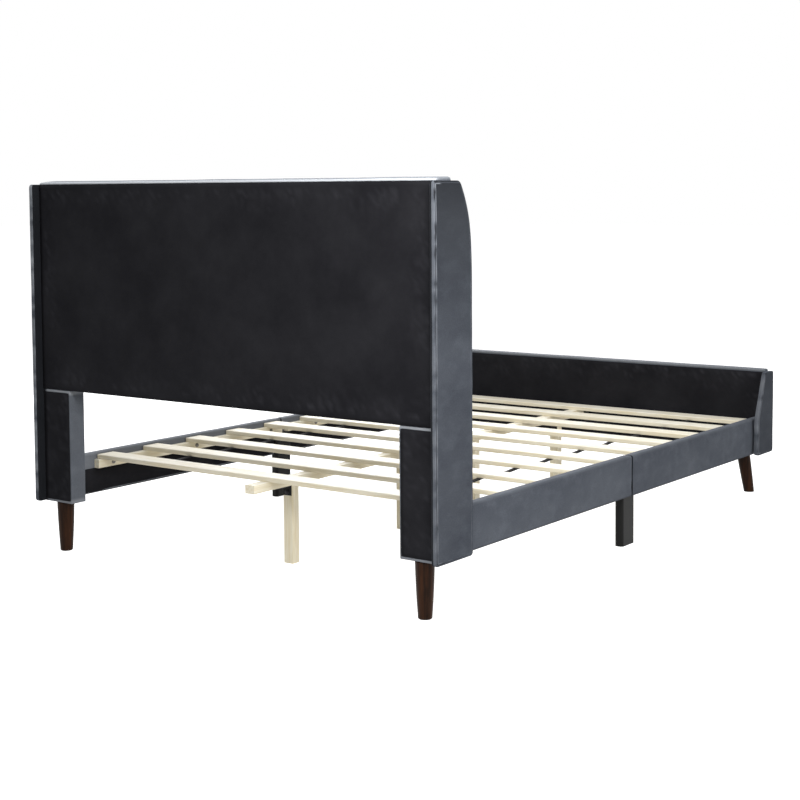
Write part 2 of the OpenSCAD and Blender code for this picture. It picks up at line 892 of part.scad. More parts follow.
module beam_joint_plate() {
    color(black_steel) difference() {
        box([-beam_width / 2 + 3, rail_joint - beam_plate_length / 2, beam_bottom - steel],
            [beam_width / 2 - 3, rail_joint + beam_plate_length / 2, beam_bottom]);
        for (y = beam_plate_bolts)
            rod([0, y, beam_bottom - steel - 1], "z", steel + 2, bolt);
    }
}

module centre_legs() {
    color(pine) for (y = centre_leg_places)
        difference() {
            linear_extrude(beam_bottom) polygon(rounded_rect(-centre_leg_width / 2, centre_leg_width / 2,
                y - centre_leg_depth / 2, y + centre_leg_depth / 2, 2, 3));
            rod([0, y + centre_leg_depth / 2 - bolt_grip, beam_bottom - beam_bracket + centre_hole], "y",
                bolt_grip + 1, bolt);
        }
}

// Angle bracket on the headboard side of each centre leg, under the beam
module centre_leg_brackets() {
    half = beam_bracket / 2;
    color(black_steel) for (y = centre_leg_places)
        let (face = y + centre_leg_depth / 2)
        difference() {
            union() {
                box([-half, face, beam_bottom - steel], [half, face + beam_bracket, beam_bottom]);
                box([-half, face, beam_bottom - beam_bracket], [half, face + steel, beam_bottom]);
            }
            rod([0, face + beam_bracket - centre_hole, beam_bottom - steel - 1], "z", steel + 2, bolt);
            rod([0, face - 1, beam_bottom - beam_bracket + centre_hole], "y", steel + 2, bolt);
        }
}

module leg_bracket_bolts(y) {
    face = y + centre_leg_depth / 2;
    translate([0, face + beam_bracket - centre_hole, beam_bottom - steel]) round_bolt(steel + bolt_grip);
    translate([0, face + steel, beam_bottom - beam_bracket + centre_hole]) rotate([90, 0, 0])
        round_bolt(steel + bolt_grip);
}

// Steel pocket on the footboard that holds the end of the beam
hanger_half = beam_width / 2 + slip;

module beam_hanger() {
    color(black_steel) difference() {
        union() {
            box([-hanger_half - steel, footboard_inner, beam_bottom - steel],
                [hanger_half + steel, footboard_inner + hanger_seat, beam_bottom]);
            for (s = [-1, 1])
                translate([s * (hanger_half + steel / 2), 0, 0])
                    box([-steel / 2, footboard_inner, beam_bottom - steel],
                        [steel / 2, footboard_inner + hanger_seat, deck - 2]);
            box([-hanger_half - hanger_wing, footboard_inner, beam_bottom - steel],
                [hanger_half + hanger_wing, footboard_inner + steel, deck - 2]);
        }
        hanger_bolts(false);
    }
}

// Bolts through the pocket into the footboard, or only their holes
module hanger_bolts(heads) {
    length = steel + liner + bolt_grip;
    for (s = [-1, 1])
        translate([s * (hanger_half + hanger_wing - hanger_hole), footboard_inner + steel,
            beam_bottom + beam_height / 2])
            rotate([90, 0, 0])
                if (heads) round_bolt(length);
                else cylinder(d = bolt, h = length);
}

// One slat, counted from the headboard
module slat(n) {
    far = post_front - first_slat - (n - 1) * slat_pitch;
    color(pine) bar_x(-slat_half, slat_half, far - slat_width, far, deck, slat_top, slat_edge);
}

module slat_straps() {
    y1 = post_front - first_slat - strap_end;
    y0 = footboard_inner + last_slat + strap_end;
    color(black_cloth) for (s = [-1, 1])
        translate([s * strap_offset, 0, 0])
            box([-strap_width / 2, y0, deck - strap_thickness], [strap_width / 2, y1, deck]);
}

module wing_studs() {
    color(zinc) for (side = ["left", "right"], p = concat(head_stud_places, foot_stud_places))
        on_side(side) rod([-wing_inner - fabric - wing_board / 2, p[0], p[1]], "x",
            wing_board / 2 + fabric + stud_reach, stud);
}

module leg_studs() {
    color(zinc) for (side = ["left", "right"])
        on_side(side) {
            rod([head_leg_x, head_leg_y, ground_clearance - stud_reach], "z", 2 * stud_reach, stud);
            splayed() translate([0, 0, -stud_reach]) cylinder(d = stud, h = 2 * stud_reach);
        }
}

headboard_battens();
headboard_plywood();
headboard_padding();
headboard_back_cover();
left_head_wing_board();
right_head_wing_board();
left_head_wing_cover();
right_head_wing_cover();
left_head_post();
right_head_post();
left_post_cover();
right_post_cover();
post_back_covers();
left_head_leg();
right_head_leg();
footboard_core();
footboard_padding();
footboard_inner_cover();
foot_wing_boards();
left_foot_wing_cover();
right_foot_wing_cover();
left_foot_leg();
right_foot_leg();
foot_leg_blocks();
left_head_rail();
left_foot_rail();
right_head_rail();
right_foot_rail();
left_head_rail_cover();
left_foot_rail_cover();
right_head_rail_cover();
right_foot_rail_cover();
left_rail_liners();
right_rail_liners();
left_ledgers();
right_ledgers();
left_middle_leg();
right_middle_leg();
corner_brackets();
centre_beam_head();
centre_beam_foot();
beam_joint_plate();
beam_hanger();
centre_legs();
centre_leg_brackets();
slat(1);  // slat_1
slat(2);  // slat_2
slat(3);  // slat_3
slat(4);  // slat_4
slat(5);  // slat_5
slat(6);  // slat_6
slat(7);  // slat_7
slat(8);  // slat_8
slat(9);  // slat_9
slat(10);  // slat_10
slat_straps();
leg_studs();
wing_studs();
frame_bolts();
ledger_bolts();
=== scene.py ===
import math

import bmesh
import bpy
from mathutils import Euler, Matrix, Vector, noise


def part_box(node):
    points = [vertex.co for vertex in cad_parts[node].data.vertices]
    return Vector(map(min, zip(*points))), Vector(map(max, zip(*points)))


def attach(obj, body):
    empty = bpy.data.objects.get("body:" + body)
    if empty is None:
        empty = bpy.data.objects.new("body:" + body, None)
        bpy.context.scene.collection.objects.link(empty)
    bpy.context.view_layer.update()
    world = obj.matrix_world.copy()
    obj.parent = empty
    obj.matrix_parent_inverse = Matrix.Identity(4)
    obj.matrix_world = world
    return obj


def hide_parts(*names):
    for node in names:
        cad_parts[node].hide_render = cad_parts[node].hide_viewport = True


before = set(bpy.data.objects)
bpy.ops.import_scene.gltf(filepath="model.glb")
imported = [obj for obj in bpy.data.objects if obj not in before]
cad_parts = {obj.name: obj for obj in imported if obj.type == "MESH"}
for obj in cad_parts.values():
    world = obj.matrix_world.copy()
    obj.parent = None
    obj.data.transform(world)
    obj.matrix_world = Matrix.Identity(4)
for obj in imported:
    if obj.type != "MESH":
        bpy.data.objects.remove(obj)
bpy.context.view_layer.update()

scene = bpy.context.scene
scene.view_settings.view_transform = "Standard"
print("frame loaded:", len(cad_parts), "nodes")

# Camera at the photograph's angle; the picture is 800 by 800
cameraLook = {
    "place": (-2.9094, 4.0702, 1.0722),
    "turn": 35.305,  # degrees from -Y towards +X
    "down": 3.543,  # degrees below the horizon
    "roll": -0.293,
    "focalPixels": 1535.7,
    "shift": (-0.05, -0.14),
    "sensor": 36,  # mm
    "pictureSide": 800,
}


def addCamera(look):
    data = bpy.data.cameras.new("camera")
    data.sensor_width = look["sensor"]
    data.lens = look["focalPixels"] / look["pictureSide"] * look["sensor"]
    data.shift_x, data.shift_y = look["shift"]
    camera = bpy.data.objects.new("camera", data)
    scene.collection.objects.link(camera)
    camera.location = look["place"]
    upright = Euler((math.radians(90 - look["down"]), 0, math.radians(180 + look["turn"]))).to_matrix()
    rolled = Euler((0, 0, math.radians(look["roll"]))).to_matrix()
    camera.rotation_euler = (upright @ rolled).to_euler()
    scene.camera = camera


addCamera(cameraLook)
print("camera placed")


# Nodes and colours

def linear(code):
    parts = [int(code[i:i + 2], 16) / 255 for i in (1, 3, 5)]
    return [c / 12.92 if c <= 0.04045 else ((c + 0.055) / 1.055) ** 2.4 for c in parts] + [1.0]


def perSize(millimetres):
    return 1000 / millimetres  # texture scale that gives features of this size on coordinates in metres


def addNode(tree, kind, settings=None, inputs=None):
    node = tree.nodes.new("ShaderNode" + kind)
    for key, value in (settings or {}).items():
        setattr(node, key, value)
    for key, value in (inputs or {}).items():
        if isinstance(value, bpy.types.NodeSocket):
            tree.links.new(value, node.inputs[key])
        else:
            node.inputs[key].default_value = value
    return node


def startMaterial(name, inputs):
    material = bpy.data.materials.new(name)
    material.use_nodes = True
    tree = material.node_tree
    tree.nodes.clear()
    shader = addNode(tree, "BsdfPrincipled", inputs=inputs)
    addNode(tree, "OutputMaterial", inputs={"Surface": shader.outputs[0]})
    place = addNode(tree, "TexCoord").outputs["Object"]
    return material, tree, shader, place


# Velvet: short polyester pile lying in brushed patches, so the tone shifts softly; folds, edges and tops get
# a painted highlight, seams and gaps a painted shade.
# Sizes are in millimetres; the speckle is coarser than the real pile, so that it shows.
velvetLook = {
    "deep": "#3d4149", "pile": "#54585f", "brushed": "#5f646c", "paintedHighlight": "#cdd1d6", "blackAndShadeColour": "#050506",
    "patch": 150, "streak": 30, "speckle": 3.2, "tuft": 0.9, "brushing": (0.8, 0.45, 0.8),
    "sheen": 0.15, "sheenTint": "#c9d2e2",
}


def makeVelvet(look):
    material, tree, shader, place = startMaterial("polyester velvet", {
        "Roughness": 0.85, "Specular IOR Level": 0.1, "Sheen Weight": look["sheen"],
        "Sheen Roughness": 0.4, "Sheen Tint": linear(look["sheenTint"])})
    brushing = addNode(tree, "Mapping", inputs={"Vector": place, "Scale": look["brushing"]}).outputs[0]
    patch = addNode(tree, "TexNoise", inputs={
        "Vector": brushing, "Scale": perSize(look["patch"]), "Detail": 4, "Roughness": 0.6})
    streak = addNode(tree, "TexNoise", inputs={
        "Vector": brushing, "Scale": perSize(look["streak"]), "Detail": 4, "Roughness": 0.6})
    speckle = addNode(tree, "TexNoise", inputs={
        "Vector": place, "Scale": perSize(look["speckle"]), "Detail": 2, "Roughness": 0.6})
    tuft = addNode(tree, "TexNoise", inputs={"Vector": place, "Scale": perSize(look["tuft"]), "Detail": 1})
    lay = addNode(tree, "MapRange", inputs={
        "Value": patch.outputs["Fac"], "From Min": 0.35, "From Max": 0.65, "To Min": 0.1, "To Max": 0.75})
    base = addNode(tree, "Mix", {"data_type": "RGBA"}, {
        0: lay.outputs[0], 6: linear(look["deep"]), 7: linear(look["pile"])})
    brushed = addNode(tree, "MapRange", inputs={
        "Value": streak.outputs["Fac"], "From Min": 0.48, "From Max": 0.72, "To Min": 0, "To Max": 0.34})
    combed = addNode(tree, "Mix", {"data_type": "RGBA"}, {
        0: brushed.outputs[0], 6: base.outputs[2], 7: linear(look["brushed"])})
    grit = addNode(tree, "MapRange", inputs={
        "Value": speckle.outputs["Fac"], "From Min": 0.3, "From Max": 0.7, "To Min": 0.86, "To Max": 1.12})
    speckled = addNode(tree, "Mix", {"data_type": "RGBA", "blend_type": "MULTIPLY"}, {
        0: 1, 6: combed.outputs[2], 7: grit.outputs[0]})
    # painted highlight on folds, edges and tops, where the light would catch the pile
    paintedHighlight = addNode(tree, "Attribute", {"attribute_name": "paintedHighlight"})
    lit = addNode(tree, "Mix", {"data_type": "RGBA"}, {
        0: paintedHighlight.outputs["Fac"], 6: speckled.outputs[2], 7: linear(look["paintedHighlight"])})
    # painted shade in seams, gaps and along under-edges, and the black of parts that lie under black cloth
    blackAndShade = addNode(tree, "Attribute", {"attribute_name": "blackAndShade"})
    darkened = addNode(tree, "Mix", {"data_type": "RGBA"}, {
        0: blackAndShade.outputs["Fac"], 6: lit.outputs[2], 7: linear(look["blackAndShadeColour"])})
    tree.links.new(darkened.outputs[2], shader.inputs["Base Color"])
    soft = addNode(tree, "Bump", inputs={
        "Height": streak.outputs["Fac"], "Strength": 0.16, "Distance": 0.0012})
    fine = addNode(tree, "Bump", inputs={
        "Height": tuft.outputs["Fac"], "Strength": 0.35, "Distance": 0.0005, "Normal": soft.outputs[0]})
    tree.links.new(fine.outputs[0], shader.inputs["Normal"])
    return material


# Dust cover: black spunbond polypropylene, matt, with a grid of tiny bonded dots and soft creases
dustClothLook = {
    "thread": "#1c1c1f", "wearAndHighlight": "#252528", "ridgeHighlight": "#303034", "blackAndShade": "#0c0c0d",
    "cloud": 150, "crease": 40, "dot": 2.2,
}


def makeDustCloth(look):
    material, tree, shader, place = startMaterial("black spunbond cloth", {
        "Roughness": 0.8, "Specular IOR Level": 0.03})
    cloud = addNode(tree, "TexNoise", inputs={
        "Vector": place, "Scale": perSize(look["cloud"]), "Detail": 4, "Roughness": 0.6})
    crease = addNode(tree, "TexNoise", inputs={
        "Vector": place, "Scale": perSize(look["crease"]), "Detail": 3, "Distortion": 0.8})
    dots = addNode(tree, "TexVoronoi", {"feature": "F1"}, {
        "Vector": place, "Scale": perSize(look["dot"]), "Randomness": 0.25})
    tone = addNode(tree, "MapRange", inputs={
        "Value": cloud.outputs["Fac"], "From Min": 0.35, "From Max": 0.7, "To Min": 0, "To Max": 1})
    colour = addNode(tree, "Mix", {"data_type": "RGBA"}, {
        0: tone.outputs[0], 6: linear(look["thread"]), 7: linear(look["wearAndHighlight"])})
    # painted shade along the hem lines, painted highlight on the creases near the edges
    blackAndShade = addNode(tree, "Attribute", {"attribute_name": "blackAndShade"})
    paintedHighlight = addNode(tree, "Attribute", {"attribute_name": "paintedHighlight"})
    ridgeLit = addNode(tree, "Mix", {"data_type": "RGBA"}, {
        0: paintedHighlight.outputs["Fac"], 6: colour.outputs[2], 7: linear(look["ridgeHighlight"])})
    shaded = addNode(tree, "Mix", {"data_type": "RGBA"}, {
        0: blackAndShade.outputs["Fac"], 6: ridgeLit.outputs[2], 7: linear(look["blackAndShade"])})
    tree.links.new(shaded.outputs[2], shader.inputs["Base Color"])
    soft = addNode(tree, "Bump", inputs={"Height": crease.outputs["Fac"], "Strength": 0.4, "Distance": 0.004})
    fine = addNode(tree, "Bump", inputs={
        "Height": dots.outputs["Distance"], "Strength": 0.25, "Distance": 0.0004, "Normal": soft.outputs[0]})
    tree.links.new(fine.outputs[0], shader.inputs["Normal"])
    return material


# Pine: bare, pale cream with faint lengthwise grain and a few small knots; faces that don't face up are a
# little darker, as painted shade.
# Grain and knots are squeezed along the board, which draws them out by the inverse.
pineLook = {
    "early": "#f2eee1", "late": "#e3d8bc", "tone": "#ebe2ca", "knot": "#b58a58", "sides": "#faf6ec",
    "ring": 7, "fibre": 1.1, "board": 170, "knotGap": 260, "squeeze": 0.06, "knotSqueeze": 0.45,
}


def makePine(name, along, look, roughness=0.55):
    material, tree, shader, place = startMaterial(name, {"Roughness": roughness, "Specular IOR Level": 0.35})
    grainScale = [look["squeeze"] if axis == along else 1 for axis in "XYZ"]
    knotScale = [look["knotSqueeze"] if axis == along else 1 for axis in "XYZ"]
    grainPlace = addNode(tree, "Mapping", inputs={"Vector": place, "Scale": grainScale}).outputs[0]
    knotPlace = addNode(tree, "Mapping", inputs={"Vector": place, "Scale": knotScale}).outputs[0]
    rings = addNode(tree, "TexNoise", inputs={
        "Vector": grainPlace, "Scale": perSize(look["ring"]), "Detail": 4, "Roughness": 0.5,
        "Distortion": 0.35})
    fibres = addNode(tree, "TexNoise", inputs={
        "Vector": grainPlace, "Scale": perSize(look["fibre"]), "Detail": 2})
    boards = addNode(tree, "TexNoise", inputs={"Vector": place, "Scale": perSize(look["board"]), "Detail": 1})
    late = addNode(tree, "MapRange", inputs={
        "Value": rings.outputs["Fac"], "From Min": 0.45, "From Max": 0.68, "To Min": 0, "To Max": 0.8})
    grain = addNode(tree, "Mix", {"data_type": "RGBA"}, {
        0: late.outputs[0], 6: linear(look["early"]), 7: linear(look["late"])})
    shade = addNode(tree, "MapRange", inputs={
        "Value": boards.outputs["Fac"], "From Min": 0.35, "From Max": 0.7, "To Min": 0, "To Max": 0.5})
    toned = addNode(tree, "Mix", {"data_type": "RGBA"}, {
        0: shade.outputs[0], 6: grain.outputs[2], 7: linear(look["tone"])})
    knots = addNode(tree, "TexVoronoi", {"feature": "F1"}, {
        "Vector": knotPlace, "Scale": perSize(look["knotGap"])})
    knot = addNode(tree, "MapRange", inputs={
        "Value": knots.outputs["Distance"], "From Min": 0.02, "From Max": 0.045, "To Min": 0.75, "To Max": 0})
    knotted = addNode(tree, "Mix", {"data_type": "RGBA"}, {
        0: knot.outputs[0], 6: toned.outputs[2], 7: linear(look["knot"])})
    # painted shade: every face that doesn't face up is multiplied by the side colour
    normal = addNode(tree, "SeparateXYZ", inputs={0: place.node.outputs["Normal"]})
    side = addNode(tree, "MapRange", inputs={
        "Value": normal.outputs["Z"], "From Min": 0.2, "From Max": 0.8, "To Min": 1, "To Max": 0})
    sawn = addNode(tree, "Mix", {"data_type": "RGBA", "blend_type": "MULTIPLY"}, {
        0: side.outputs[0], 6: knotted.outputs[2], 7: linear(look["sides"])})
    tree.links.new(sawn.outputs[2], shader.inputs["Base Color"])
    bump = addNode(tree, "Bump", inputs={
        "Height": fibres.outputs["Fac"], "Strength": 0.2, "Distance": 0.0004})
    tree.links.new(bump.outputs[0], shader.inputs["Normal"])
    return material


# Rubberwood legs: turned, stained dark walnut and lacquered, so the grain is faint and the gloss is soft
legLook = {"stain": "#1a0e07", "grain": "#372012", "pore": 1.6, "figure": 12, "squeeze": 0.07}


def makeStainedWood(look):
    material, tree, shader, place = startMaterial("walnut-stained rubberwood", {
        "Roughness": 0.4, "Specular IOR Level": 0.06, "Coat Weight": 0.02, "Coat Roughness": 0.25})
    drawn = addNode(tree, "Mapping", inputs={"Vector": place, "Scale": (1, 1, look["squeeze"])}).outputs[0]
    figure = addNode(tree, "TexNoise", inputs={
        "Vector": drawn, "Scale": perSize(look["figure"]), "Detail": 4, "Roughness": 0.6,
        "Distortion": 0.4})
    pores = addNode(tree, "TexNoise", inputs={"Vector": drawn, "Scale": perSize(look["pore"]), "Detail": 2})
    share = addNode(tree, "MapRange", inputs={
        "Value": figure.outputs["Fac"], "From Min": 0.4, "From Max": 0.7, "To Min": 0, "To Max": 1})
    colour = addNode(tree, "Mix", {"data_type": "RGBA"}, {
        0: share.outputs[0], 6: linear(look["stain"]), 7: linear(look["grain"])})
    tree.links.new(colour.outputs[2], shader.inputs["Base Color"])
    bump = addNode(tree, "Bump", inputs={
        "Height": pores.outputs["Fac"], "Strength": 0.12, "Distance": 0.0003})
    tree.links.new(bump.outputs[0], shader.inputs["Normal"])
    return material


# Paints and plating: one base colour, a little unevenness in gloss and a fine surface grain
coatPatch = 35
coatLooks = {
    "satin black paint": {"colour": "#0b0b0a", "patchy": "#121211", "roughness": (0.4, 0.5), "grain": 2.5,
                          "metallic": 0, "gloss": 0.13, "depth": 0.0003},
    "black powder coat": {"colour": "#070708", "patchy": "#0c0c0d", "roughness": (0.5, 0.6), "grain": 0.8,
                          "metallic": 0, "gloss": 0.15, "depth": 0.0002},
    "black oxide": {"colour": "#29282a", "patchy": "#1d1c1e", "roughness": (0.35, 0.5), "grain": 1.5,
                    "metallic": 1, "gloss": 0.5, "depth": 0.0001},
    "zinc plating": {"colour": "#77736c", "patchy": "#5d5a55", "roughness": (0.35, 0.5), "grain": 1.5,
                     "metallic": 1, "gloss": 0.5, "depth": 0.0001},
}


def makeCoat(name, look):
    material, tree, shader, place = startMaterial(name, {
        "Metallic": look["metallic"], "Specular IOR Level": look["gloss"]})
    patches = addNode(tree, "TexNoise", inputs={"Vector": place, "Scale": perSize(coatPatch), "Detail": 3})
    grain = addNode(tree, "TexNoise", inputs={"Vector": place, "Scale": perSize(look["grain"]), "Detail": 2})
    colour = addNode(tree, "Mix", {"data_type": "RGBA"}, {
        0: patches.outputs["Fac"], 6: linear(look["colour"]), 7: linear(look["patchy"])})
    gloss = addNode(tree, "MapRange", inputs={
        "Value": patches.outputs["Fac"], "To Min": look["roughness"][0], "To Max": look["roughness"][1]})
    bump = addNode(tree, "Bump", inputs={
        "Height": grain.outputs["Fac"], "Strength": 0.2, "Distance": look["depth"]})
    tree.links.new(colour.outputs[2], shader.inputs["Base Color"])
    tree.links.new(gloss.outputs[0], shader.inputs["Roughness"])
    tree.links.new(bump.outputs[0], shader.inputs["Normal"])
    return material


# Webbing: flat woven polypropylene, with its ribs across the strap
webbingLook = {"rib": 1.8, "hollow": "#101012", "thread": "#232326"}


def makeWebbing(look):
    material, tree, shader, place = startMaterial("black woven webbing", {
        "Roughness": 0.8, "Specular IOR Level": 0.2})
    ribs = addNode(tree, "TexWave", {"bands_direction": "Y"}, {
        "Vector": place, "Scale": perSize(look["rib"]) / 2 / math.pi, "Distortion": 0.4})
    colour = addNode(tree, "Mix", {"data_type": "RGBA"}, {
        0: ribs.outputs["Fac"], 6: linear(look["hollow"]), 7: linear(look["thread"])})
    bump = addNode(tree, "Bump", inputs={"Height": ribs.outputs["Fac"], "Strength": 0.5, "Distance": 0.0004})
    tree.links.new(colour.outputs[2], shader.inputs["Base Color"])
    tree.links.new(bump.outputs[0], shader.inputs["Normal"])
    return material


velvet = makeVelvet(velvetLook)
dustCloth = makeDustCloth(dustClothLook)
pineAcross = makePine("planed pine, grain across the bed", "X", pineLook)
pineAlong = makePine("planed pine, grain along the bed", "Y", pineLook)
pineUpright = makePine("planed pine, grain upright", "Z", pineLook)
sawnLook = {**pineLook, "early": "#e3cfa6", "late": "#c9a874", "tone": "#d2b482"}
sawnPine = makePine("sawn pine", "X", sawnLook, roughness=0.8)
plywood = makePine("poplar plywood", "X", {**sawnLook, "ring": 14}, roughness=0.75)
stainedWood = makeStainedWood(legLook)
coats = {name: makeCoat(name, look) for name, look in coatLooks.items()}
webbing = makeWebbing(webbingLook)
print("materials made")

# Finish of each CAD node by a word in its name; the first match holds, and the rest are sawn boards
finishes = [
    (("blocks",), sawnPine), (("slat_",), pineAcross),
    (("ledgers", "centre_beam"), pineAlong), (("centre_legs",), pineUpright),
    (("headboard_plywood",), plywood), (("_head_leg", "_foot_leg"), stainedWood),
    (("middle_leg",), coats["satin black paint"]),
    (("bracket", "joint_plate", "hanger"), coats["black powder coat"]),
    (("frame_bolts",), coats["black oxide"]), (("studs", "ledger_bolts"), coats["zinc plating"]),
]
for nodeName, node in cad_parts.items():
    found = [material for words, material in finishes if any(word in nodeName for word in words)]
    for holder in node.material_slots:
        holder.material = found[0] if found else sawnPine
print("CAD nodes finished")


# Soft pieces

def startBlock(low, high):
    bm = bmesh.new()
    bmesh.ops.create_cube(bm, size=1)
    bmesh.ops.scale(bm, vec=high - low, verts=bm.verts)
    bmesh.ops.translate(bm, vec=(low + high) / 2, verts=bm.verts)
    return bm


def edgesAlong(bm, axis, test=None):
    found = []
    for edge in bm.edges:
        first, second = (vert.co for vert in edge.verts)
        run = second - first
        if abs(run[axis]) > 0.999 * run.length and (test is None or test((first + second) / 2)):
            found.append(edge)
    return found


def edgesAround(faces):
    # each edge once, in an order that is the same in every run, which a set's isn't
    return list(dict.fromkeys(edge for face in faces for edge in face.edges))


def largestFace(bm, axis, sign):
    facing = [face for face in bm.faces if face.normal[axis] * sign > 0.99]
    return max(facing, key=lambda face: face.calc_area())


def roundEdges(bm, edges, radius, steps):
    bmesh.ops.bevel(bm, geom=edges, offset=radius, offset_type="OFFSET", segments=steps, profile=0.5,
                    affect="EDGES", material=-1)


def cutAcross(bm, axis, place):
    normal = Vector([1.0 if i == axis else 0.0 for i in range(3)])
    bmesh.ops.bisect_plane(bm, geom=bm.verts[:] + bm.edges[:] + bm.faces[:], dist=1e-6,
                           plane_co=normal * place, plane_no=normal)


def sliceBlock(bm, low, high, cell):
    for axis in range(3):
        length = high[axis] - low[axis]
        count = int(length / cell)
        for i in range(1, count):
            cutAcross(bm, axis, low[axis] + length * i / count)


def addStrip(bm, low, high, cell):
    part = startBlock(low, high)
    sliceBlock(part, low, high, cell)
    mesh = bpy.data.meshes.new("part")
    part.to_mesh(mesh)
    part.free()
    bm.from_mesh(mesh)
    bpy.data.meshes.remove(mesh)


def addShades(bm):  # two values for each point: one darkens the velvet or cloth, as painted shade and as the black of black parts; the other lightens it, as a painted highlight
    return bm.verts.layers.float.new("blackAndShade"), bm.verts.layers.float.new("paintedHighlight")


def ripple(point, size, seed):
    return noise.noise(Vector(point) / size + Vector((seed, 3.7 * seed, 1.3)))


def finishSoft(name, bm, material, nodes, level=1, swelling=None):
    bmesh.ops.recalc_face_normals(bm, faces=bm.faces)
    mesh = bpy.data.meshes.new(name)
    bm.to_mesh(mesh)
    bm.free()
    mesh.materials.append(material)
    mesh.polygons.foreach_set("use_smooth", [True] * len(mesh.polygons))
    piece = bpy.data.objects.new(name, mesh)
    scene.collection.objects.link(piece)
    if swelling:
        swell(piece, *swelling)
    if level:
        surface = piece.modifiers.new("surface", "SUBSURF")
        surface.levels = surface.render_levels = level
    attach(piece, "root")
    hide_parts(*nodes)
    return piece


# Cloth simulation: the velvet swells over its foam, held where it is stapled or glued
clothLook = {"steps": 20, "pressure": 4, "stiffness": 15, "bending": 0.5, "mass": 0.3}


def swell(piece, held, cap, slack, look=clothLook):
    mesh = piece.data
    start = [vert.co.copy() for vert in mesh.vertices]
    group = piece.vertex_groups.new(name="held")
    for vert in mesh.vertices:
        group.add([vert.index], held(vert.co), "REPLACE")
    cloth = piece.modifiers.new("cloth", "CLOTH")
    settings = cloth.settings
    settings.vertex_group_mass = "held"
    settings.mass = look["mass"]
    settings.tension_stiffness = settings.compression_stiffness = look["stiffness"]
    settings.bending_stiffness = look["bending"]
    settings.shrink_min = -slack
    settings.use_pressure = True
    settings.uniform_pressure_force = look["pressure"]
    settings.effector_weights.gravity = 0
    cloth.collision_settings.use_collision = False
    cloth.point_cache.frame_start, cloth.point_cache.frame_end = 1, look["steps"]
    for step in range(1, look["steps"] + 1):
        scene.frame_set(step)
    shaped = piece.evaluated_get(bpy.context.evaluated_depsgraph_get()).to_mesh()
    for vert, before, after in zip(mesh.vertices, start, shaped.vertices):
        move = after.co - before
        if move.length > 0:
            vert.co = before + move * (cap * math.tanh(move.length / cap) / move.length)
    piece.evaluated_get(bpy.context.evaluated_depsgraph_get()).to_mesh_clear()
    piece.modifiers.remove(cloth)
    piece.vertex_groups.remove(group)
    scene.frame_set(1)
    print("swelled", piece.name)


# Wings: velvet over a board, seamed round both faces, with a soft roll of slack beside each seam
wingLook = {
    "corner": 0.010, "cornerSteps": 4, "edge": 0.0025, "edgeSteps": 3, "cell": 0.014, "fill": 0.3,
    "wave": 0.0007, "waveSize": 0.09, "pucker": 0.0009, "puckerSize": 0.017, "seed": {"left": 4, "right": 9},
    # from the edge of a face inwards: width, height, painted shade and painted highlight of each ring
    "rings": [(0.0010, 0.0003, 0.3, 0.05), (0.0015, -0.0018, 1.0, 0.0), (0.0013, 0.0016, 0.15, 0.08),
              (0.0022, 0.0006, 0.0, 0.13), (0.0014, -0.0003, 0.0, 0.0)],
    "strips": [0.0035, 0.0045, 0.0105],  # cuts along the wing, measured from its inner side
    "patchy": (0.75, 1.5, 0.020),  # how much of the painted highlight shows: mean, change and size
    # the seam lies closer away from the staples: where that starts, and what is left of its painted shade and
    # painted highlight
    "calm": {"head": 0.03, "foot": 0.02, "inside": 0.008, "blackAndShade": 0.3, "paintedHighlight": 0.35,
             "top": 0.02, "topHighlight": 0.1},
    # black cloth of the back drawn onto the inner side, the same black also standing as painted shade in the
    # gap by the headboard: width on each wing, half its sharp line, depth, darkness
    "black": {"left": 0.0062, "right": 0.0008, "line": 0.0004, "depth": 0.060, "blackAndShade": 0.87},
    # painted highlight along the back edge band of the wings; on the foot wings also a strip of painted shade
    # beside it
    "headRimLight": {"left": 0.07, "right": 0.22, "depth": 0.003},
    "footRimLightAndShade": {"inner": 0.07, "outer": 0.1, "depth": 0.004, "split": 0.004, "shadeTo": 0.0103, "blackAndShade": 0.12},
    # both faces darker, more towards the top: darkening below, darkening at the top and reach downwards
    "faceDark": {"head": (0.24, 0.82, 0.45), "foot": (0.5, 0.5, 1.0)}, "faceDarkFrom": 0.006, "faceDarkBelow": 0.05,
    "headDepth": 0.164, "headTop": 0.111, "headCurve": 0.300, "headPower": 4,
    "footDepth": 0.130, "footTop": 0.066, "footKnee": 0.274, "footFlare": 0.004,
}


def wingDepth(z, top, end, look):
    if end == "head":
        t = max(0.0, (z - (top - look["headCurve"])) / look["headCurve"])
        return look["headDepth"] - (look["headDepth"] - look["headTop"]) * t ** look["headPower"]
    t = max(0.0, (z - look["footKnee"]) / (top - look["footKnee"]))
    flare = look["footFlare"] * max(0.0, (look["footKnee"] - z) / look["footKnee"])
    return look["footDepth"] - (look["footDepth"] - look["footTop"]) * t + flare


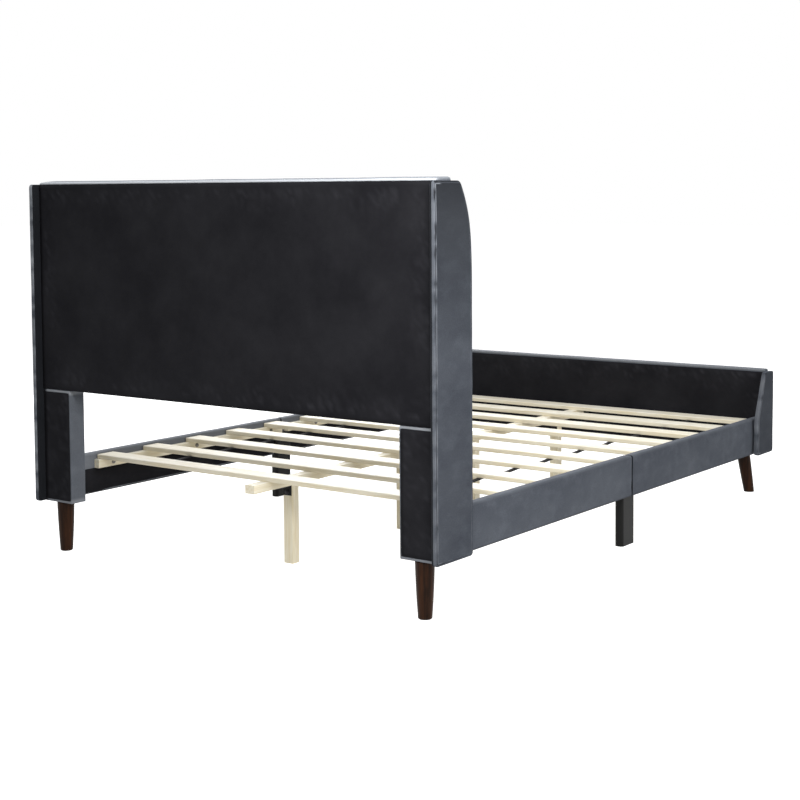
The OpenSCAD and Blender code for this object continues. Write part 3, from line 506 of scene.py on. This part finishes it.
def makeWing(side, end, look):
    node = f"{side}_{end}_wing_cover"
    low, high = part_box(node)
    bm = startBlock(low, high)
    roundEdges(bm, edgesAlong(bm, 0), look["corner"], look["cornerSteps"])
    faces = [face for face in bm.faces if abs(face.normal.x) > 0.99]
    roundEdges(bm, edgesAround(faces), look["edge"], look["edgeSteps"])
    blackAndShade, paintedHighlight = addShades(bm)
    for sign in (-1, 1):
        face = largestFace(bm, 0, sign)
        for width, height, shadeHere, highlightHere in look["rings"]:
            bmesh.ops.inset_region(bm, faces=[face], thickness=width, depth=height, use_even_offset=True)
            for vert in face.verts:
                vert[blackAndShade], vert[paintedHighlight] = shadeHere, highlightHere
    sliceBlock(bm, low, high, look["cell"])
    away = -1 if side == "left" else 1
    inner = high.x if side == "left" else low.x
    black, calm, footRimLightAndShade = look["black"], look["calm"], look["footRimLightAndShade"]
    for strip in [black[side] - black["line"], black[side] + black["line"]] + look["strips"]:
        cutAcross(bm, 0, inner + away * strip)
    pivot = high.y if end == "head" else low.y
    halfThick = (high.x - low.x) / 2
    below, above, reach = look["faceDark"][end]
    mean, change, patchSize = look["patchy"]
    seed = look["seed"][side]
    for vert in bm.verts:
        y, z = vert.co.y, vert.co.z
        fromInside = (vert.co.x - inner) * away
        patchy = max(0.0, mean + change * ripple((y, z, 0), patchSize, seed))
        if y < high.y - calm[end] and fromInside > calm["inside"]:
            vert[blackAndShade] *= calm["blackAndShade"]
            vert[paintedHighlight] *= calm["topHighlight"] if z > high.z - calm["top"] else calm["paintedHighlight"]
        # the back of the inner side goes black, as black cloth and as painted shade in the gap; the back edge
        # band gets a painted highlight, and on the foot wings also a strip of painted shade
        if end == "head":
            if y > high.y - black["depth"] and fromInside < black[side]:
                vert[blackAndShade], vert[paintedHighlight] = black["blackAndShade"], 0.0
            elif y > high.y - look["headRimLight"]["depth"] and fromInside > black[side]:
                vert[paintedHighlight] = look["headRimLight"][side]
        elif y > high.y - footRimLightAndShade["depth"]:
            vert[paintedHighlight] = footRimLightAndShade["inner"] if fromInside < footRimLightAndShade["split"] else footRimLightAndShade["outer"]
            if footRimLightAndShade["split"] < fromInside < footRimLightAndShade["shadeTo"]:
                vert[blackAndShade] = footRimLightAndShade["blackAndShade"]
        vert[paintedHighlight] *= patchy
        # both faces darker, more towards the top, where no painted highlight lies
        if abs(fromInside - halfThick) > look["faceDarkFrom"] and vert[paintedHighlight] < look["faceDarkBelow"]:
            faceDark = below + (above - below) * max(0.0, 1 - (high.z - z) / reach)
            vert[blackAndShade] = max(vert[blackAndShade], faceDark)
        puckered = min(1.0, 3 * vert[paintedHighlight])
        vert.co.x += away * look["pucker"] * ripple((y, z, 5), look["puckerSize"], seed) * puckered
        vert.co.y = pivot + (y - pivot) * wingDepth(z, high.z, end, look) / (high.y - low.y)
        facing = math.copysign(1, fromInside - halfThick) * away
        vert.co.x += facing * look["wave"] * ripple((vert.co.y, z, facing), look["waveSize"], seed)
    finishSoft(f"{side}_{end}_wing_velvet", bm, velvet, [node])


for side in ("left", "right"):
    for end in ("head", "foot"):
        makeWing(side, end, wingLook)
print("wings covered")

# Side rails: padded on the outer side, the velvet turned over the top and stapled inside
railLook = {
    "outer": 0.006, "outerSteps": 4, "inner": 0.003, "innerSteps": 2, "ends": 0.003, "endSteps": 2,
    "top": 0.001, "cell": 0.014, "fill": 0.4, "cap": 0.004, "slack": 0.003,
    "border": 0.004, "crease": 0.0008, "recess": 0.0008,  # the inner side lies deeper inside its border
    "wave": 0.0014, "waveSize": 0.14, "sideWave": 0.5, "topWave": 0.6, "seed": 2,
    "calmEnd": 0.03, "calmFoot": 0.01, "roll": 0.004, "rollLift": 0.0006,
    "padFrom": 0.004, "padFoot": 0.008,  # the velvet is free to swell outside of these
    "shade": 0.006, "shadeStrength": 1.2, "joint": 0.0028, "jointWithin": 0.1,
    "topLight": {"left": 0.045, "right": 0.22}, "innerLight": 0.16, "outerLight": 0.015,
}


def makeRail(side, end, look):
    node = f"{side}_{end}_rail_cover"
    low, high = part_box(node)
    high.z += look["top"]
    sign = -1 if side == "left" else 1
    inner = high.x if side == "left" else low.x
    middle = (low.x + high.x) / 2
    bm = startBlock(low, high)
    outerEdges = edgesAlong(bm, 1, lambda centre: (centre.x - middle) * sign > 0)
    roundEdges(bm, outerEdges, look["outer"], look["outerSteps"])
    innerEdges = edgesAlong(bm, 1, lambda centre: (centre.x - inner) * sign < 0.0001)
    roundEdges(bm, innerEdges, look["inner"], look["innerSteps"])
    caps = [face for face in bm.faces if abs(face.normal.y) > 0.99]
    roundEdges(bm, edgesAround(caps), look["ends"], look["endSteps"])
    blackAndShade, paintedHighlight = addShades(bm)
    liner = largestFace(bm, 0, -sign)
    for width, depth in ((look["border"], 0), (look["crease"], -look["recess"])):
        bmesh.ops.inset_region(bm, faces=[liner], thickness=width, depth=depth, use_even_offset=True)
    sliceBlock(bm, low, high, look["cell"])
    for vert in bm.verts:
        outward = (vert.co.x - middle) * sign > 0
        fromEnd = min(vert.co.y - low.y, high.y - vert.co.y)
        fade = min(1.0, max(0.0, fromEnd / look["calmEnd"]))
        wave = look["wave"] * ripple((vert.co.y, vert.co.z * 0.6, sign), look["waveSize"], look["seed"])
        if outward and vert.co.z > low.z + look["calmFoot"]:
            vert.co.x += sign * look["sideWave"] * wave * fade
        # painted highlight on the top roll and on both sides, painted shade along the bottom edge
        if vert.co.z > high.z - look["roll"]:
            vert.co.z += fade * (look["topWave"] * wave + look["rollLift"])
            vert[paintedHighlight] = look["topLight"][side]
        else:
            vert[paintedHighlight] = look["outerLight" if outward else "innerLight"]
        if vert.co.z < low.z + look["shade"]:
            vert[blackAndShade] = min(1.0, look["shadeStrength"] * (1 - (vert.co.z - low.z) / look["shade"]))
        if fromEnd < look["joint"] and abs(vert.co.y) < look["jointWithin"]:
            vert[blackAndShade] = 1.0  # the closed joint between the two halves

    def held(point):
        padded = (point.x - middle) * sign > look["padFrom"]
        between = low.z + look["padFoot"] < point.z < high.z - look["roll"]
        return 0.0 if padded and between else 1.0

    finishSoft(f"{side}_{end}_rail_velvet", bm, velvet, [node],
               swelling=(held, look["cap"], look["slack"]))


for side in ("left", "right"):
    for end in ("head", "foot"):
        makeRail(side, end, railLook)
print("rails covered")

# Posts: velvet round three sides, with a turned lip above and below the black back
postLook = {
    "edge": 0.0025, "edgeSteps": 3, "cell": 0.015, "fill": 0.2,
    "side": 0.004, "crease": 0.0008, "recess": 0.0006,  # the back lies deeper between its side borders
    "backWithin": (0.02, 0.05), "tuckSide": 0.0005, "tuckDepth": 0.003,
    "wave": 0.0005, "waveSize": 0.07, "waveSink": 0.3, "sideLight": 0.05,
    "lip": 0.007, "lipMargin": 0.001, "lipLight": {"top": 0.34, "bottom": 0.2},
    "lipDepth": 0.002, "lipWave": 0.0006, "lipWaveSize": 0.02,
}


def makePost(side, look):
    node = f"{side}_post_cover"
    low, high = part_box(node)
    bm = startBlock(low, high)
    roundEdges(bm, bm.edges[:], look["edge"], look["edgeSteps"])
    for axis, margin in ((2, look["lip"]), (0, look["side"])):
        cutAcross(bm, axis, low[axis] + margin)
        cutAcross(bm, axis, high[axis] - margin)
    middle = (low + high) / 2
    widthWithin, heightWithin = look["backWithin"]
    back = [face for face in bm.faces if face.normal.y > 0.99
            and abs(face.calc_center_median().x - middle.x) < widthWithin
            and abs(face.calc_center_median().z - middle.z) < heightWithin]
    blackAndShade, paintedHighlight = addShades(bm)
    bmesh.ops.inset_region(bm, faces=back, thickness=look["crease"], depth=-look["recess"],
                           use_even_offset=True)
    for face in back:
        for vert in face.verts:
            vert[blackAndShade] = 1.0
    sliceBlock(bm, low, high, look["cell"])
    for vert in bm.verts:
        away = vert.co - middle
        outward = -away.x if side == "left" else away.x
        besideWing = outward > middle.x - low.x - look["side"] - look["tuckSide"]
        if besideWing and away.y > middle.y - low.y - look["tuckDepth"]:
            vert[blackAndShade] = 1.0  # black cloth tucked in against the wing
        wave = ripple(vert.co, look["waveSize"], 6) - look["waveSink"]
        vert.co.x += math.copysign(look["wave"], away.x) * wave
        if vert[blackAndShade] == 0:
            vert[paintedHighlight] = look["sideLight"]
        topLip = vert.co.z > high.z - look["lip"] - look["lipMargin"]
        if topLip or vert.co.z < low.z + look["lip"] + look["lipMargin"]:
            vert[paintedHighlight] = look["lipLight"]["top" if topLip else "bottom"] * (1 - vert[blackAndShade])
            if vert.co.y > high.y - look["lipDepth"]:
                vert.co.z += look["lipWave"] * ripple(vert.co, look["lipWaveSize"], 11)
    finishSoft(f"{side}_post_velvet", bm, velvet, [node])


for side in ("left", "right"):
    makePost(side, postLook)
print("posts covered")

# Headboard and footboard: foam under velvet that is drawn over the edges and stapled behind
panelLook = {
    "headboard_padding": {"back": 0.0008, "round": 0.010, "steps": 4, "edge": 0.0015, "cell": 0.012,
                          "crown": 0.010, "cap": 0.012, "slack": 0.004, "fall": (0.07, 0.005),
                          "light": (1.0, 0.22, 0.014), "foam": 0.042, "frame": 0.014, "wave": 0.0010},
    "footboard_padding": {"back": 0.0008, "round": 0.008, "steps": 3, "edge": 0.0015, "cell": 0.010,
                          "crown": 0.005, "cap": 0.008, "slack": 0.004, "fall": (0.03, 0.001),
                          "light": (0.25, 0.08, 0.014), "foam": 0.022, "frame": 0.012, "wave": 0.0008},
}
panelShared = {"edgeSteps": 2, "rear": 0.01, "waveSize": 0.16, "seed": 8, "fill": 0.7,
               "heldDepth": 0.01, "heldFrame": 0.008}  # distances over which the hold on the velvet grows


def makePanel(node, look, shared=panelShared):
    low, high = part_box(node)
    start, stop = low.copy(), high.copy()
    start.y += look["crown"]
    stop.y += look["back"]
    bm = startBlock(start, stop)

    def forward(centre):
        return centre.y < stop.y - shared["rear"]

    roundEdges(bm, edgesAlong(bm, 2, forward) + edgesAlong(bm, 0, forward), look["round"], look["steps"])
    roundEdges(bm, list(largestFace(bm, 1, 1).edges), look["edge"], shared["edgeSteps"])
    sliceBlock(bm, start, stop, look["cell"])
    blackAndShade, paintedHighlight = addShades(bm)
    strong, weak, lightReach = look["light"]
    fallReach, fallHeight = look["fall"]
    for vert in bm.verts:
        behind = max(0.0, 1 - (stop.y - vert.co.y) / fallReach)
        if vert.co.z > stop.z - look["round"]:
            wave = look["wave"] * ripple((vert.co.x, 0, 0), shared["waveSize"], shared["seed"])
            vert.co.z += wave - fallHeight * behind ** 2
            vert[paintedHighlight] = weak + (strong - weak) * max(0.0, 1 - (stop.y - vert.co.y) / lightReach)

    def held(point):  # free over the foam in front, fixed behind and where the wings grip the ends
        inside = min(point.x - start.x, stop.x - point.x, point.z - start.z, stop.z - point.z)
        depthHold = (point.y - stop.y + look["foam"]) / shared["heldDepth"]
        frameHold = (look["frame"] - inside) / shared["heldFrame"]
        return min(1.0, max(0.0, depthHold, frameHold))

    finishSoft(node.replace("padding", "velvet"), bm, velvet, [node],
               swelling=(held, look["cap"], look["slack"]))


for node, look in panelLook.items():
    makePanel(node, look)
print("panels padded")

# Black cloths: stretched over the backs and stapled under a narrow hem
coverLook = {
    "headboard_back_cover": {"wider": 0.003, "deeper": 0.002, "hem": 0.013, "crease": 0.0010, "size": 0.22,
                             "backing": "headboard_battens"},
    "footboard_inner_cover": {"wider": 0.003, "deeper": 0.0, "hem": 0.010, "crease": 0.0009, "size": 0.18,
                              "backing": "footboard_core"},
}
postClothLook = {"margin": 0.001, "proud": 0.0003, "hem": 0.006, "crease": 0.0004, "size": 0.08}
coverShared = {
    "cell": 0.012, "thickness": 0.0004, "hemLine": 0.0012, "hemShade": 0.8, "hemLift": 0.9,
    "lift": 0.4, "wide": 0.5, "narrow": 0.25,  # shares of the crease height
    "gatherReach": 0.06, "wearAndHighlight": 1.2, "highlightFine": 0.6, "highlightReach": 0.09,
}


def makeCloth(name, low, high, look, nodes, shared=coverShared):
    bm = bmesh.new()
    width, height = high.x - low.x, high.z - low.z
    hem, size = look["hem"], look["size"]
    bmesh.ops.create_grid(bm, x_segments=1, y_segments=1, size=0.5)
    bmesh.ops.rotate(bm, cent=(0, 0, 0), matrix=Euler((math.pi / 2, 0, 0)).to_matrix(), verts=bm.verts)
    bmesh.ops.scale(bm, vec=(width, 1, height), verts=bm.verts)
    bmesh.ops.translate(bm, vec=((low.x + high.x) / 2, high.y, (low.z + high.z) / 2), verts=bm.verts)
    blackAndShade, paintedHighlight = addShades(bm)
    for vert in bm.verts:
        vert[blackAndShade] = shared["hemShade"]
    face = bm.faces[:][0]
    for thickness, shade in ((hem, 0.0), (shared["hemLine"], shared["hemShade"]), (shared["hemLine"], 0.0)):
        bmesh.ops.inset_region(bm, faces=[face], thickness=thickness, depth=0, use_even_offset=True)
        for vert in face.verts:
            vert[blackAndShade] = shade
    sliceBlock(bm, low, high, shared["cell"])
    for vert in bm.verts:
        x, z = vert.co.x, vert.co.z
        border = min(x - low.x, high.x - x, z - low.z, high.z - z)
        lift = shared["lift"] + shared["wide"] * ripple((x, 0, z), size, 3)
        lift += shared["narrow"] * ripple((x, 0, z * 2), size / 3, 7)
        lift += max(0.0, 1 - border / shared["gatherReach"]) * ripple((x, 4, z * 0.5), size / 7, 2)
        if border < hem:
            lift = shared["hemLift"]
        vert.co.y += look["crease"] * max(0.0, lift)
        # painted highlight on the creases near the edges; none on the hem
        wearAndHighlight = ripple((x * 2, 8, z), size / 12, 4) + shared["highlightFine"] * ripple((x, 9, z), size / 3, 4)
        nearEdge = max(0.0, 1 - border / shared["highlightReach"]) if border > hem else 0.0
        vert[paintedHighlight] = max(0.0, min(1.0, shared["wearAndHighlight"] * wearAndHighlight)) * nearEdge
    bmesh.ops.solidify(bm, geom=bm.faces[:], thickness=-shared["thickness"])
    piece = finishSoft(name, bm, dustCloth, nodes, level=0)


for node, look in coverLook.items():
    low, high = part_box(node)
    low.x -= look["wider"]
    high.x += look["wider"]
    low.z -= look["deeper"]
    makeCloth(node.replace("cover", "cloth"), low, high, look, [node])

low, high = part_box("post_back_covers")
for side in ("left", "right"):
    postLow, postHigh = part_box(f"{side}_post_cover")
    margin, proud = postClothLook["margin"], postClothLook["proud"]
    start = Vector((
        postLow.x + postLook["side"] + margin, high.y - proud, postLow.z + postLook["lip"] + margin))
    stop = Vector((
        postHigh.x - postLook["side"] - margin, high.y + proud, postHigh.z - postLook["lip"] - margin))
    makeCloth(f"{side}_post_cloth", start, stop, postClothLook, ["post_back_covers"])
print("black cloths stretched")

# Liners on the inner side of the rails, below the ledgers
linerLook = {"cell": 0.03, "short": 0.015, "crease": 0.0004, "creaseSize": 0.12, "creaseSink": 0.4}


def makeLiners(side, look):
    node = f"{side}_rail_liners"
    low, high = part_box(node)
    bm = bmesh.new()
    for end in ("head", "foot"):
        railLow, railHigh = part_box(f"{side}_{end}_rail_cover")
        start = Vector((low.x, railLow.y + look["short"], low.z))
        stop = Vector((high.x, railHigh.y - look["short"], high.z))
        addStrip(bm, start, stop, look["cell"])
    inwards = 1 if side == "left" else -1
    for vert in bm.verts:
        if (vert.co.x - (low.x + high.x) / 2) * inwards > 0:
            crease = ripple(vert.co, look["creaseSize"], 5) - look["creaseSink"]
            vert.co.x += inwards * look["crease"] * crease
    piece = finishSoft(f"{side}_rail_lining", bm, dustCloth, [node], level=0)


for side in ("left", "right"):
    makeLiners(side, linerLook)
print("rails lined")

# Straps: webbing stapled under each slat, slack by a few millimetres between them
strapLook = {"width": 0.020, "sag": 0.003, "cell": 0.012}


def makeStraps(look):
    low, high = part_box("slat_straps")
    slatNames = [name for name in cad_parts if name.startswith("slat_") and name != "slat_straps"]
    slats = sorted((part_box(name) for name in slatNames), key=lambda box: box[0].y)
    bm = bmesh.new()
    for x in (low.x, high.x - look["width"]):
        addStrip(bm, Vector((x, low.y, low.z)), Vector((x + look["width"], high.y, high.z)), look["cell"])
    for vert in bm.verts:
        for (lowA, highA), (lowB, highB) in zip(slats, slats[1:]):
            if highA.y < vert.co.y < lowB.y:
                t = (vert.co.y - highA.y) / (lowB.y - highA.y)
                vert.co.z -= look["sag"] * math.sin(math.pi * t)
    finishSoft("slat_webbing", bm, webbing, ["slat_straps"], level=0)


makeStraps(strapLook)
print("straps laid")

# Studio: white for the camera, plain soft light for the object
studioLook = {
    "ambient": 0.34, "floor": "#d9d9d9", "floorGlow": 0.84, "floorHalf": 40,
    "lamps": {  # place, target, size and watts
        "overhead": ((0.3, 0.6, 4.2), (0, 0, 0.3), 3.5, 80),
        "side": ((-3.6, -0.2, 1.6), (-0.4, -0.4, 0.3), 2.0, 33),
        "behind": ((-1.45, 1.85, 1.55), (-0.45, 1, 0.85), 0.8, 36),
        "front": ((2.6, -3.4, 1.5), (0.2, 0, 0.5), 2.2, 120),
    },
}
white = (1, 1, 1, 1)


def addArea(name, place, target, size, power):
    data = bpy.data.lights.new(name, "AREA")
    data.shape = "SQUARE"
    data.size = size
    data.energy = power
    lamp = bpy.data.objects.new(name, data)
    scene.collection.objects.link(lamp)
    lamp.location = place
    lamp.visible_camera = False
    lamp.rotation_euler = (Vector(target) - Vector(place)).to_track_quat("-Z", "Y").to_euler()


def whiteShare(tree):
    rays = addNode(tree, "LightPath")
    seen = addNode(tree, "Math", {"operation": "MAXIMUM"}, {
        0: rays.outputs["Is Camera Ray"], 1: rays.outputs["Is Glossy Ray"]})
    return addNode(tree, "Math", {"operation": "MAXIMUM"}, {
        0: seen.outputs[0], 1: rays.outputs["Is Transmission Ray"]}).outputs[0]


def addWorld(look):
    world = bpy.data.worlds.new("studio")
    scene.world = world
    world.use_nodes = True
    tree = world.node_tree
    tree.nodes.clear()
    light = addNode(tree, "Background", inputs={"Color": white, "Strength": look["ambient"]})
    backdrop = addNode(tree, "Background", inputs={"Color": white, "Strength": 1})
    mixed = addNode(tree, "MixShader", inputs={
        0: whiteShare(tree), 1: light.outputs[0], 2: backdrop.outputs[0]})
    addNode(tree, "OutputWorld", inputs={"Surface": mixed.outputs[0]})


def addFloor(look):
    bm = bmesh.new()
    bmesh.ops.create_grid(bm, x_segments=1, y_segments=1, size=look["floorHalf"])
    mesh = bpy.data.meshes.new("floor")
    bm.to_mesh(mesh)
    bm.free()
    floor = bpy.data.objects.new("floor", mesh)
    scene.collection.objects.link(floor)
    material = bpy.data.materials.new("studio floor")
    material.use_nodes = True
    tree = material.node_tree
    tree.nodes.clear()
    matt = addNode(tree, "BsdfDiffuse", inputs={"Color": linear(look["floor"])})
    glow = addNode(tree, "Emission", inputs={"Color": white, "Strength": look["floorGlow"]})
    both = addNode(tree, "AddShader", inputs={0: matt.outputs[0], 1: glow.outputs[0]})
    mixed = addNode(tree, "MixShader", inputs={0: whiteShare(tree), 1: matt.outputs[0], 2: both.outputs[0]})
    addNode(tree, "OutputMaterial", inputs={"Surface": mixed.outputs[0]})
    mesh.materials.append(material)


addWorld(studioLook)
addFloor(studioLook)
for name, lamp in studioLook["lamps"].items():
    addArea(name, *lamp)
print("studio lit")
